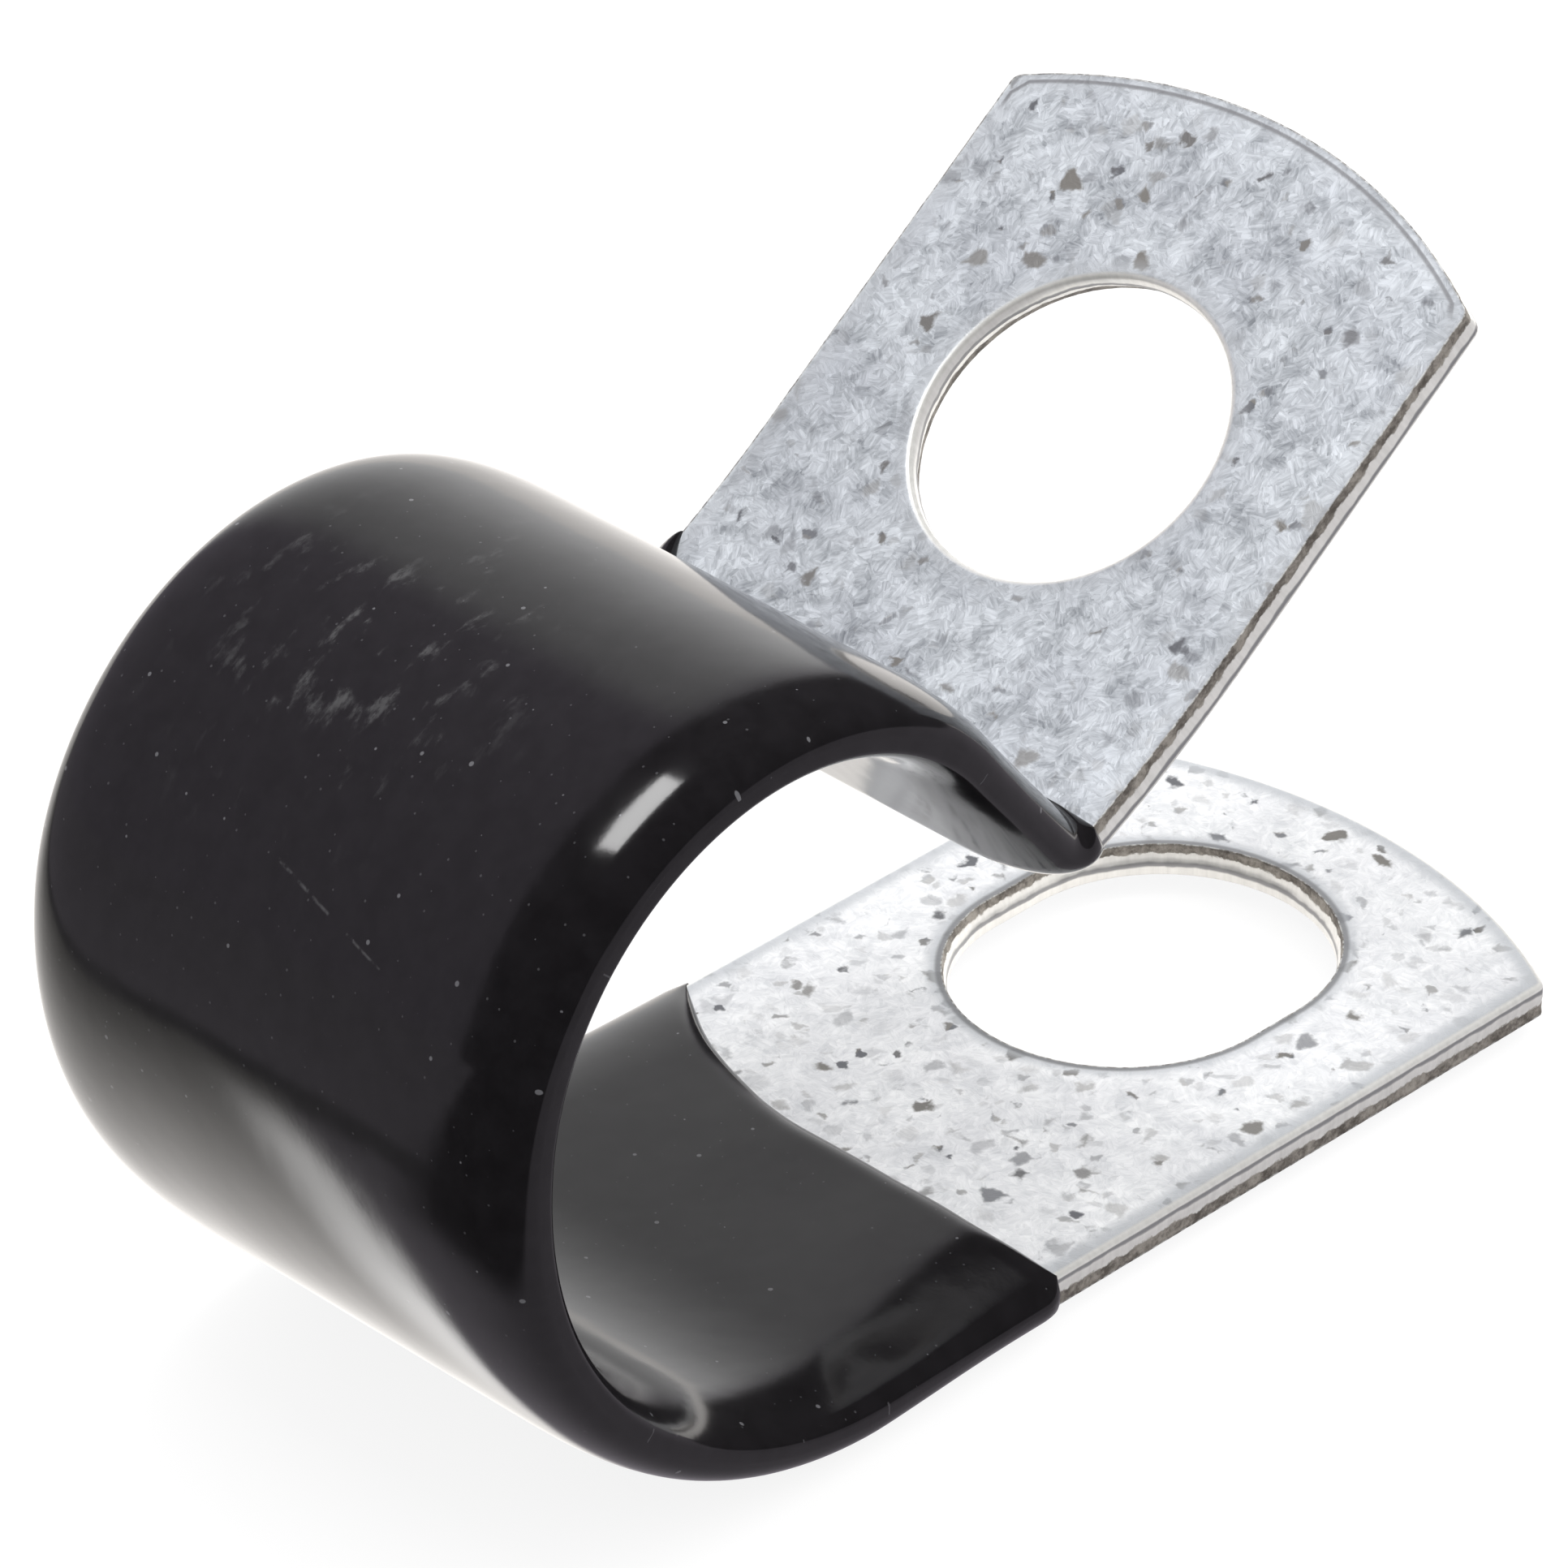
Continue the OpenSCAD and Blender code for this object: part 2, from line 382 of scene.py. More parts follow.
def fill_face(row):
    """Triangles of one face: the flat place of each point, and the corners of each triangle."""
    points, edges, loop_of = [], [], []
    for loop, (rings, number) in enumerate(((outline_rings, row), (hole_rings, -1 - row),
                                            (slot_rings, -1 - row))):
        first, ring = len(points), rings[number]
        points += [place.to_2d() for place, cut in ring]
        edges += [(first + i, first + (i + 1) % len(ring)) for i in range(len(ring))]
        loop_of += [loop] * len(ring)
    z = outline_rings[row][0][0].z
    points += [Vector(p) for p in grid_points]
    loop_of += [0] * len(grid_points)
    places, _, faces, sources = delaunay_2d_cdt(points, edges, [], 1, fill_weld)[:4]
    # A triangle with all its corners on the loop of one hole lies in the hole
    owners = [loop_of[found[0]] if found else 0 for found in sources]
    kept = [f for f in faces if len({owners[i] for i in f}) > 1 or owners[f[0]] == 0]
    return [Vector((p.x, p.y, z)) for p in places], kept


print("Triangles in the inner face:", len(fill_face(0)[1]))

# %% Build the flat strip
# The flat map has one unit for this many millimetres
map_unit = 10.0
strip_weld = 1e-4
# The first and last two rows of an edge still lie on a face
wall_rows = range(2, len(EDGE_ROWS) - 2)


def ring_faces(mesh, upper, lower):
    """A band of quads between two closed rings of points."""
    for i in range(len(upper)):
        j = (i + 1) % len(upper)
        mesh.faces.new((upper[i], upper[j], lower[j], lower[i]))


def keep_mesh(mesh, name):
    """A finished flat mesh, brought from millimetres to metres."""
    open_edges = sum(1 for e in mesh.edges if not e.is_manifold)
    bmesh.ops.scale(mesh, vec=(MM, MM, MM), verts=mesh.verts)
    made = bpy.data.meshes.new(name)
    mesh.to_mesh(made)
    mesh.free()
    print(name + ":", len(made.polygons), "faces,", open_edges, "open edges")
    return made


def flat_strip():
    mesh = bmesh.new()
    cut_layer, margin_layer, wall_layer, inner_layer = [
        mesh.verts.layers.float.new(name) for name in ("cut", "margin", "wall", "inner")]
    for row in (0, -1):
        places, faces = fill_face(row)
        corners = [mesh.verts.new(p) for p in places]
        for face in faces:
            mesh.faces.new([corners[i] for i in face])
    for rings in (outline_rings, hole_rings, slot_rings):
        made = [[mesh.verts.new(place) for place, cut in ring] for ring in rings]
        for number, ring in enumerate(rings):
            for vert, (place, cut) in zip(made[number], ring):
                vert[cut_layer] = cut
                vert[wall_layer] = 1.0 if number in wall_rows else 0.0
        for upper, lower in zip(made, made[1:]):
            ring_faces(mesh, upper, lower)
    loose = [v for v in mesh.verts if not v.link_faces]
    bmesh.ops.delete(mesh, geom=loose, context="VERTS")
    bmesh.ops.remove_doubles(mesh, verts=mesh.verts, dist=strip_weld)
    bmesh.ops.recalc_face_normals(mesh, faces=mesh.faces)
    flat_map = mesh.loops.layers.uv.new("flat_map")
    for vert in mesh.verts:
        vert[margin_layer] = max(0.0, edge_distance(vert.co.x, vert.co.y))
        vert[inner_layer] = 1.0 if vert.co.z < 0 else 0.0
    for corner in (c for face in mesh.faces for c in face.loops):
        corner[flat_map].uv = corner.vert.co.xy / map_unit
    return keep_mesh(mesh, "flat_strip")


strip_mesh = flat_strip()

# %% [markdown]
# ## The dipped skin
# The clip's loop is dipped in liquid vinyl and baked. The skin is even on the faces, stands
# full and round over the strip's edges in the loop, and thins to soft lips where the liquid
# stood. A plain sweep would end square, so the sleeve is laid ring by ring: each ring goes
# once round the strip, and near a lip it is drawn in to the steel along a quarter round.

# %% Shape of one ring round the strip
vinyl_t = 0.4
half_coat = half_t + vinyl_t
# Over the edges the skin is thickest in the loop and thin at the lips
lip_rim, loop_rim = 0.33, 0.61
lip_round, loop_round = 1.1, 2.9
lip_inner_round, loop_inner_round = 2.6, 2.0
# In the loop the outer round runs down past the middle of the edge and is squarer than an ellipse
edge_drop = 0.25
squareness = 1 / 3
round_steps, level_steps = 20, 26
# The points of a round lie closer together at the edge
crowding = 1.3


def between(low, high, share):
    return low + (high - low) * share


def ring_shape(fullness):
    """(y, z) of the skin, from the -Y rim over the outer face and back under the inner one."""
    half_wide = strap_w / 2 + between(lip_rim, loop_rim, fullness)
    outer_round = between(lip_round, loop_round, fullness)
    inner_round = between(lip_inner_round, loop_inner_round, fullness)
    brow = -edge_drop * fullness
    found = []
    for z_side, corner, power in ((1, outer_round, 1 - squareness * fullness), (-1, inner_round, 1.0)):
        flat, height = half_wide - corner, half_coat - z_side * brow
        quarter = [math.pi / 2 * (i / round_steps) ** crowding for i in range(round_steps)]
        rise = [(-flat - corner * math.cos(a) ** power, brow + z_side * height * math.sin(a) ** power)
                for a in quarter]
        level = [(between(-flat, flat, i / level_steps), z_side * half_coat)
                 for i in range(level_steps + 1)]
        fall = [(-y, z) for y, z in reversed(rise[1:])]
        found += [(z_side * y, z) for y, z in rise + level + fall]
    return found


print("Points round the skin:", len(ring_shape(1.0)))

# %% [markdown]
# ## Where the skin ends
# The liquid creeps further along the strip where it wets an edge. So the lower lip runs
# straight across and then swings forward towards +Y, and the upper lip only climbs the +Y
# edge. Two short functions of Y say where each lip is, and all rows of the skin follow.

# %% Lines of the two lips
lower_dip = 5.3
lower_wave, lower_wave_scale, lower_wave_seed = 0.07, 0.55, 2.0
creep_from, creep_depth = 0.6, 0.065
upper_dip, upper_slant = 0.32, 0.05
upper_creep, upper_creep_from, upper_creep_w = 0.9, 5.5, 0.85


def clamp(value):
    return max(0.0, min(1.0, value))


def lower_lip(y):
    """Distance along the strip of the lower ear's lip, which creeps forward towards +Y."""
    creep = creep_depth * max(0.0, y - creep_from) ** 2
    wave = noise.noise(Vector((lower_wave_scale * y, lower_wave_seed, 0)))
    return lower_ear_len - lower_dip - creep - lower_wave * wave


def upper_lip(y):
    """Distance along the strip of the upper ear's lip, which creeps up the +Y edge."""
    creep = upper_creep * clamp((y - upper_creep_from) / upper_creep_w) ** 2
    return line_starts["root_bend"] + upper_dip + upper_slant * y + creep


print("Lower lip from", round(lower_lip(-strap_w / 2), 2), "to", round(lower_lip(strap_w / 2), 2))

# %% Rows of the sleeve
lip_len = 0.6
lip_steps = [0.0, 0.012, 0.04, 0.09, 0.16, 0.25, 0.36, 0.48, 0.6]
even_from = lower_ear_len - 3.4
even_to = line_starts["reverse_bend"] - 0.3
even_step = 0.28
lower_leg_rows, upper_leg_rows = 10, 36
lower_swell_len, upper_swell_len = 6.0, 7.0


def loop_share(x):
    """0 at the lips, 1 in the loop: how full the skin is over the strip's edges."""
    share = clamp(min((x - lower_lip(0)) / lower_swell_len, (upper_lip(0) - x) / upper_swell_len))
    return share * share * (3 - 2 * share)


def sleeve_rows():
    """Rows of the sleeve: how a row's place follows from its two lips, and its fill."""
    fill = [math.sqrt(max(0.0, 1 - (1 - d / lip_len) ** 2)) for d in lip_steps]
    low, high, count = lower_leg_rows, upper_leg_rows, round((even_to - even_from) / even_step)
    rows = [(lambda a, b, d=d: a + d, f) for d, f in zip(lip_steps, fill)]
    rows += [(lambda a, b, k=i / low: between(a + lip_len, even_from, k), 1.0) for i in range(1, low)]
    rows += [(lambda a, b, k=i / count: between(even_from, even_to, k), 1.0) for i in range(count + 1)]
    rows += [(lambda a, b, k=i / high: between(even_to, b - lip_len, k), 1.0) for i in range(1, high)]
    return rows + [(lambda a, b, d=d: b - d, f) for d, f in zip(reversed(lip_steps), reversed(fill))]


print("Rows along the skin:", len(sleeve_rows()))

# %% Build the flat sleeve
bury = 0.02
uneven = 0.05
swell_along, swell_across, swell_seed = 0.22, 0.35, 3.0
sleeve_weld = 1e-5
# The inner side has its own stretch of the flat map, this far across
inner_map_y = 20.0


def skin_ring(place_of, fill):
    """One row of the skin, and the row just under the steel's surface that it is closed with."""
    skin, inside = [], []
    for y, z in ring_shape(loop_share(place_of(lower_lip(0), upper_lip(0)))):
        x = place_of(lower_lip(y), upper_lip(y))
        swell = 1 + uneven * noise.noise(Vector((swell_along * x, swell_across * y, swell_seed + z)))
        core_y = max(-strap_w / 2 + bury, min(strap_w / 2 - bury, y))
        core_z = max(-half_t + bury, min(half_t - bury, z))
        share = fill * min(1.0, swell)
        skin.append((x, between(core_y, y, share), between(core_z, z, share)))
        inside.append((x, core_y, core_z))
    return skin, inside


def flat_sleeve():
    mesh = bmesh.new()
    for shell in zip(*[skin_ring(place_of, fill) for place_of, fill in sleeve_rows()]):
        made = [[mesh.verts.new(p) for p in ring] for ring in shell]
        for ring, after in zip(made, made[1:]):
            ring_faces(mesh, ring, after)
    bmesh.ops.remove_doubles(mesh, verts=mesh.verts, dist=sleeve_weld)
    bmesh.ops.recalc_face_normals(mesh, faces=mesh.faces)
    flat_map = mesh.loops.layers.uv.new("flat_map")
    for corner in (c for face in mesh.faces for c in face.loops):
        x, y, z = corner.vert.co
        corner[flat_map].uv = (x / map_unit, (y if z > 0 else inner_map_y - y) / map_unit)
    return keep_mesh(mesh, "flat_sleeve")


sleeve_mesh = flat_sleeve()

# %% [markdown]
# ## Galvanised steel
# Hot zinc freezes on the strip in small crystals. Each crystal throws fine feathery strokes
# its own way, and a few lie so that they look dark. An image could show that, but a node
# pattern has no edges and stays sharp close up. Cells of a Voronoi texture stand for the
# crystals, and each cell's random colour turns a stretched noise, so the strokes change
# direction from crystal to crystal. It reads the flat map, so it bends with the strip.

# %% More short words, for shaders


class ShaderNodes(Nodes):
    def calc(self, operation, first, second=0.0, third=0.0, clamp=False):
        return self.add("ShaderNodeMath", {0: first, 1: second, 2: third},
                        operation=operation, use_clamp=clamp).outputs[0]

    def times(self, first, *others):
        for other in others:
            first = self.calc("MULTIPLY", first, other)
        return first

    def ease(self, value, low, high, step="SMOOTHSTEP"):
        """0 up to low, 1 from high on, and a soft step between."""
        return self.add("ShaderNodeMapRange", {"Value": value, "From Min": low, "From Max": high},
                        interpolation_type=step).outputs["Result"]

    # A Mix node has its two numbers at sockets 2 and 3, and its two colours at 6 and 7
    def mix(self, share, first, second):
        return self.add("ShaderNodeMix", {0: share, 2: first, 3: second}).outputs[0]

    def colour(self, share, first, second, blend="MIX"):
        return self.add("ShaderNodeMix", {0: share, 6: first, 7: second},
                        data_type="RGBA", blend_type=blend).outputs[2]

    def noise(self, place, scale, detail=2.0, rough=0.5, output="Fac"):
        return self.add("ShaderNodeTexNoise", {"Vector": place, "Scale": scale, "Detail": detail,
                                               "Roughness": rough}).outputs[output]

    def distance(self, first, second):
        return self.add("ShaderNodeVectorMath", {0: first, 1: second},
                        operation="DISTANCE").outputs["Value"]

    def chances(self, cell_colour):
        """The random colour of a cell, taken as three chances."""
        return self.add("ShaderNodeSeparateColor", {0: cell_colour}).outputs

    def mesh_value(self, name):
        return self.add("ShaderNodeAttribute", attribute_name=name).outputs["Fac"]

    def flat_mm(self):
        """The flat map of a piece, in millimetres."""
        flat = self.add("ShaderNodeUVMap", uv_map="flat_map").outputs[0]
        return self.vector("MULTIPLY", flat, (map_unit,) * 3)


def new_material(name):
    made = bpy.data.materials.new(name)
    made.use_nodes = True
    return made, ShaderNodes(made.node_tree), made.node_tree.nodes["Principled BSDF"]


zinc, zn, zinc_shader = new_material("galvanised_zinc")
print("New material:", zinc.name)

# %% Start the node group of the crystals
spangle = ShaderNodes(bpy.data.node_groups.new("zinc_spangle", "ShaderNodeTree"))
for name, kind, way in (("Place", "Vector", "INPUT"), ("Crystals", "Float", "INPUT"),
                        ("Dark share", "Float", "INPUT"), ("Stroke", "Float", "OUTPUT"),
                        ("Dark", "Float", "OUTPUT"), ("Tint", "Float", "OUTPUT"),
                        ("Crystal", "Float", "OUTPUT")):
    spangle.tree.interface.new_socket(name, in_out=way, socket_type="NodeSocket" + kind)
given = spangle.add("NodeGroupInput").outputs
result = spangle.add("NodeGroupOutput").inputs
wander_mm = 0.34
wander = spangle.noise(given["Place"], 2.6, 3.0, 0.6, "Color")
wander = spangle.vector("SUBTRACT", wander, (0.5, 0.5, 0.5))
wander = spangle.vector("MULTIPLY", wander, (wander_mm,) * 3)
warped = spangle.vector("ADD", given["Place"], wander)


def crystals(scale, feature="F1"):
    """One random colour for each crystal, as three chances, or the way to its border."""
    size = spangle.times(given["Crystals"], scale)
    made = spangle.add("ShaderNodeTexVoronoi", {"Vector": warped, "Scale": size}, feature=feature)
    return spangle.chances(made.outputs["Color"]) if feature == "F1" else made.outputs["Distance"]


broad_scale, facet_scale, small_scale = 0.6, 1.3, 2.1
broad, facet, small = crystals(broad_scale), crystals(facet_scale), crystals(small_scale)
print("Spangle group starts with", len(spangle.tree.nodes), "nodes")

# %% Strokes of the crystals


def drawn_out(turn, stretch):
    """The place, turned by a crystal's own angle and drawn out along it."""
    angle = spangle.times(turn, 2 * math.pi)
    aimed = spangle.add("ShaderNodeVectorRotate", {"Vector": given["Place"], "Angle": angle},
                        rotation_type="Z_AXIS").outputs[0]
    return spangle.vector("MULTIPLY", aimed, (stretch, 1.0, 1.0))


def shards(turn, scale, stretch):
    """Thin slivers, each in a tone of its own."""
    made = spangle.add("ShaderNodeTexVoronoi", {"Vector": drawn_out(turn, stretch), "Scale": scale})
    return spangle.chances(made.outputs["Color"])[0]


feather = spangle.noise(drawn_out(small[0], 6.0), 2.2, 2.0, 0.6)
stroke = spangle.times(spangle.ease(feather, 0.38, 0.62, "LINEAR"), 0.34)
stroke = spangle.calc("MULTIPLY_ADD", shards(small[0], 1.7, 5.0), 0.36, stroke)
stroke = spangle.calc("MULTIPLY_ADD", shards(facet[0], 1.3, 3.0), 0.30, stroke)
spangle.plug(stroke, result["Stroke"])
tone = spangle.calc("MULTIPLY_ADD", small[1], 0.45, spangle.times(broad[1], 0.55))
spangle.plug(tone, result["Crystal"])
print("Spangle group with strokes:", len(spangle.tree.nodes), "nodes")

# %% Dark flakes among the crystals


def flakes(chance, scale, share):
    """The share of the crystals that look dark: most of them faint, a few deep."""
    picked = spangle.ease(spangle.calc("SUBTRACT", share, chance[1]), 0.0, 0.02)
    inside = spangle.ease(crystals(scale, "DISTANCE_TO_EDGE"), 0.0, 0.24)
    deep = spangle.calc("MULTIPLY_ADD", spangle.calc("POWER", chance[0], 2.2), 0.85, 0.15)
    return spangle.times(picked, inside, deep)


small_share = spangle.times(given["Dark share"], 0.7)
dark = spangle.calc("MAXIMUM", flakes(facet, facet_scale, given["Dark share"]),
                    flakes(small, small_scale, small_share))
spangle.plug(dark, result["Dark"])
spangle.plug(facet[2], result["Tint"])
print("Spangle group of", len(spangle.tree.nodes), "nodes")

# %% [markdown]
# ## Two faces of one strip
# The inner face of the strip is painted paler than the outer one. This is painted light:
# the inner face is the one seen on the lower ear, and its paler tones stand in for brighter
# light there, where the upper ear shades it. Both come from the same group of nodes: the
# mesh says which face a point is on, and that value picks between two pairs of tones. Two
# materials would do too, but then the edge between them would need a finish of its own.

# %% Tones of the two faces
strip_mm = zn.flat_mm()
margin, inner = zn.mesh_value("margin"), zn.mesh_value("inner")
grains = zn.add("ShaderNodeGroup", node_tree=spangle.tree)
zn.plug(strip_mm, grains.inputs["Place"])
crystals_per_mm = 1.75
zn.plug(crystals_per_mm, grains.inputs["Crystals"])
zn.plug(zn.calc("MULTIPLY_ADD", inner, 0.06, 0.12), grains.inputs["Dark share"])
grain = grains.outputs
# Painted light: the second tone of each pair, for the inner face, is paler to brighten the lower ear
pale_zinc_with_face_light = zn.colour(inner, (0.71, 0.745, 0.785), (0.98, 0.985, 0.99))
grey_zinc_with_face_light = zn.colour(inner, (0.17, 0.185, 0.205), (0.64, 0.655, 0.675))
blotch = zn.ease(zn.noise(strip_mm, 0.95, 4.0, 0.68), 0.36, 0.54)
shade = zn.times(grain["Stroke"], 0.72)
shade = zn.calc("MULTIPLY_ADD", grain["Crystal"], 0.14, shade)
shade = zn.calc("MULTIPLY_ADD", blotch, 0.28, shade)
face_colour = zn.colour(shade, grey_zinc_with_face_light, pale_zinc_with_face_light)
cloud = zn.ease(zn.noise(strip_mm, 0.45, 3.0), 0.35, 0.7)
cloud_tone = (0.90, 0.90, 0.91)
face_colour = zn.colour(cloud, face_colour, cloud_tone, "MULTIPLY")
print("Zinc tones:", len(zinc.node_tree.nodes), "nodes")

# %% Flakes, scuffed borders, a painted groove shade and a painted burr shadow
flake_tint = zn.ease(grain["Tint"], 0.3, 0.9)
flake_colour = zn.colour(flake_tint, (0.15, 0.155, 0.17), (0.22, 0.21, 0.195))
flake_share = zn.calc("MULTIPLY", grain["Dark"], 1.35, clamp=True)
face_colour = zn.colour(flake_share, face_colour, flake_colour)
scuff = zn.times(zn.ease(margin, 0.6, 0.2), zn.calc("MULTIPLY_ADD", inner, 0.35, 0.4))
scuffed_zinc = (0.50, 0.52, 0.545)
face_colour = zn.colour(scuff, face_colour, scuffed_zinc)
# Painted shade: a dark line in the groove at the foot of the burr, near the upper ear's end on the outer
# face
upper_end_from, upper_end_to = 70.5, 70.9
at_end = zn.ease(zn.parts(strip_mm)["X"], upper_end_from, upper_end_to)
burr_groove_shade = zn.times(zn.ease(margin, 0.13, 0.17), zn.ease(margin, 0.27, 0.2), at_end,
                     zn.calc("SUBTRACT", 1.0, inner), 0.8)
groove_shade_grey, slot_shadow_grey = (0.20, 0.20, 0.21), (0.15, 0.15, 0.155)
face_colour = zn.colour(burr_groove_shade, face_colour, groove_shade_grey)
# Painted shadow: a dark line on the inner face along the rim of the slot, where its burr shades it
from_slot = zn.distance(strip_mm, (*slot_at, 0))
slot_burr_shadow = zn.times(zn.ease(from_slot, 5.2, 4.8), zn.ease(margin, 0.30, 0.20), inner, 0.7)
face_colour = zn.colour(slot_burr_shadow, face_colour, slot_shadow_grey)
print("Zinc face:", len(zinc.node_tree.nodes), "nodes")

# %% [markdown]
# ## The cut through the steel
# The edge shows the steel under the zinc. The value that each edge row carries runs from
# the rolled side to the burr, and soft steps on it give the bands: bright where the
# punch rubbed, brown grey where the steel tore, and a painted highlight along the burr, a
# broken line of glints.
# A picture of an edge could be wrapped round, but the steps follow the mesh by themselves.

# %% Bands of the cut edge
cut, wall = zn.mesh_value("cut"), zn.mesh_value("wall")
object_mm = zn.vector("MULTIPLY", zn.add("ShaderNodeTexCoord").outputs["Object"], (1 / MM,) * 3)
tear_noise = zn.noise(object_mm, 2.6, 6.0, 0.72)
drag_noise = zn.noise(strip_mm, 7.0, 3.0, 0.6)
wavy_cut = zn.calc("ADD", cut, zn.calc("MULTIPLY_ADD", tear_noise, 0.6, -0.3))
torn = zn.ease(wavy_cut, 0.46, 0.56)
rubbed_colour = zn.colour(drag_noise, (0.66, 0.65, 0.62), (0.95, 0.94, 0.91))
torn_colour = zn.colour(zn.ease(tear_noise, 0.35, 0.65), (0.12, 0.105, 0.09), (0.40, 0.37, 0.33))
wall_colour = zn.colour(torn, rubbed_colour, torn_colour)
# Painted highlight: bright glints along the burr
burr_glint = zn.times(zn.ease(cut, 0.93, 0.99), zn.ease(drag_noise, 0.40, 0.62))
glint_steel, roll_reflection_grey = (0.72, 0.72, 0.70), (0.22, 0.22, 0.23)
wall_colour = zn.colour(burr_glint, wall_colour, glint_steel)
# Painted reflection: a dark line near the rolled round of the edge, where it mirrors dark surroundings
roll_dark_reflection = zn.times(zn.ease(cut, 0.05, 0.09), zn.ease(cut, 0.2, 0.13), 0.9)
wall_colour = zn.colour(roll_dark_reflection, wall_colour, roll_reflection_grey)
zn.plug(zn.colour(wall, face_colour, wall_colour), zinc_shader.inputs["Base Color"])
print("Edge bands added:", len(zinc.node_tree.nodes), "nodes")

# %% [markdown]
# ## How the steel takes light
# Weathered zinc is between a metal and a dull oxide, so Metallic is half. The crystals
# differ a little in gloss, the rubbed band is smoother than the torn one, and a very low
# bump lets the strokes and the tear catch the light. The large shapes are in the mesh.

# %% Gloss and relief of the steel
face_rough = zn.mix(grain["Dark"], zn.calc("MULTIPLY_ADD", grain["Crystal"], 0.14, 0.40), 0.34)
wall_rough = zn.mix(torn, 0.33, 0.62)
zn.plug(zn.mix(wall, face_rough, wall_rough), zinc_shader.inputs["Roughness"])
tear_relief = zn.times(tear_noise, zn.calc("MULTIPLY_ADD", torn, 4.0, 0.4))
relief = zn.mix(wall, grain["Stroke"], tear_relief)
stroke_depth = 0.006 * MM
zinc_bump = zn.add("ShaderNodeBump", {"Height": relief, "Distance": stroke_depth, "Strength": 0.8})
zn.plug(zinc_bump.outputs[0], zinc_shader.inputs["Normal"])
zinc_shader.inputs["Metallic"].default_value = 0.5
print("Zinc finish:", len(zinc.node_tree.nodes), "nodes")

# %% [markdown]
# ## Dipped vinyl
# Dipped vinyl is a soft glossy plastic, nearly black with a trace of purple brown. Handling
# leaves it with dust, rubbed patches and faint hairlines, and the dip leaves the face a
# little uneven. One even gloss would look like glass, so the rubbed places are paler and
# rougher, and a shallow bump breaks up the reflections.

# %% Specks and dust on the vinyl
vinyl, vn, vinyl_shader = new_material("dipped_vinyl")
skin_mm = vn.flat_mm()


def dots(per_mm, radius, spread, rare):
    """Round dots at random places, some of them left out."""
    made = vn.add("ShaderNodeTexVoronoi", {"Vector": skin_mm, "Scale": per_mm},
                  voronoi_dimensions="2D")
    chance = vn.chances(made.outputs["Color"])
    size = vn.calc("MULTIPLY_ADD", chance[0], spread, radius)
    dot = vn.ease(vn.calc("SUBTRACT", size, made.outputs["Distance"]), 0.0, radius)
    return vn.times(dot, vn.calc("GREATER_THAN", chance[1], rare))


specks = dots(per_mm=0.9, radius=0.012, spread=0.04, rare=0.72)
dust = dots(per_mm=2.3, radius=0.02, spread=0.05, rare=0.62)
print("Vinyl with dots:", len(vinyl.node_tree.nodes), "nodes")

# %% Scratches and a rubbed patch


def scratch(start, stop, width):
    """A faint line between two places of the flat map, in mm."""
    start, along = Vector((*start, 0)), Vector((*stop, 0)) - Vector((*start, 0))
    away = vn.vector("SUBTRACT", skin_mm, start)
    share = vn.add("ShaderNodeVectorMath", {0: away, 1: along / along.length_squared},
                   operation="DOT_PRODUCT").outputs["Value"]
    share = vn.calc("ADD", share, 0.0, clamp=True)
    foot = vn.add("ShaderNodeVectorMath", {0: along, "Scale": share}, operation="SCALE").outputs[0]
    return vn.ease(vn.distance(away, foot), width, 0.0)


scratches = vn.calc("MAXIMUM", scratch((40.3, 0.5), (39.9, -1.1), 0.05),
                    scratch((39.75, -1.7), (39.5, -2.7), 0.04))
scratches = vn.times(scratches, vn.ease(vn.noise(skin_mm, 4.5), 0.40, 0.62))
rub_place, rub_reach, rub_core = (44.6, 1.6, 0.0), 5.6, 0.6
rub_stretch = (0.75, 1.4, 1.0)
from_rub = vn.distance(skin_mm, rub_place)
rub_strokes = vn.noise(vn.vector("MULTIPLY", skin_mm, rub_stretch), 1.1, 5.0, 0.66)
rub = vn.times(vn.ease(rub_strokes, 0.55, 0.72), vn.ease(from_rub, rub_reach, rub_core))
print("Vinyl with wear:", len(vinyl.node_tree.nodes), "nodes")

# %% Colour, gloss and relief of the vinyl
smear = vn.noise(skin_mm, 0.35, 4.0, 0.6)
haze = vn.ease(vn.noise(skin_mm, 1.6, 5.0, 0.7), 0.3, 0.7)
vinyl_colour = vn.colour(haze, (0.0054, 0.0047, 0.0055), (0.0084, 0.0075, 0.0087))
worn = vn.times(vn.calc("MAXIMUM", rub, scratches), 0.30)
worn_vinyl, dust_colour = (0.16, 0.16, 0.165), (0.30, 0.30, 0.32)
vinyl_colour = vn.colour(worn, vinyl_colour, worn_vinyl)
for layer, strength in ((dust, 0.11), (specks, 0.3)):
    vinyl_colour = vn.colour(vn.times(layer, strength), vinyl_colour, dust_colour)
vn.plug(vinyl_colour, vinyl_shader.inputs["Base Color"])
vinyl_rough = vn.mix(rub, vn.calc("MULTIPLY_ADD", smear, 0.10, 0.06), 0.45)
vn.plug(vinyl_rough, vinyl_shader.inputs["Roughness"])
dip_depth, fine_share = 0.06 * MM, 0.05
dip_relief = vn.calc("MULTIPLY_ADD", vn.noise(skin_mm, 9.0), fine_share, vn.noise(skin_mm, 0.55))
vinyl_bump = vn.add("ShaderNodeBump", {"Height": dip_relief, "Distance": dip_depth, "Strength": 0.15})
vn.plug(vinyl_bump.outputs[0], vinyl_shader.inputs["Normal"])
print("Vinyl finish:", len(vinyl.node_tree.nodes), "nodes")

# %% [markdown]
# ## Bending and handing over
# Now each flat mesh goes through the bending tree with its finish. The evaluated result is
# kept as a plain mesh and the modifier is taken off, so that nothing depends on the line any
# more.

# %% Bend both pieces


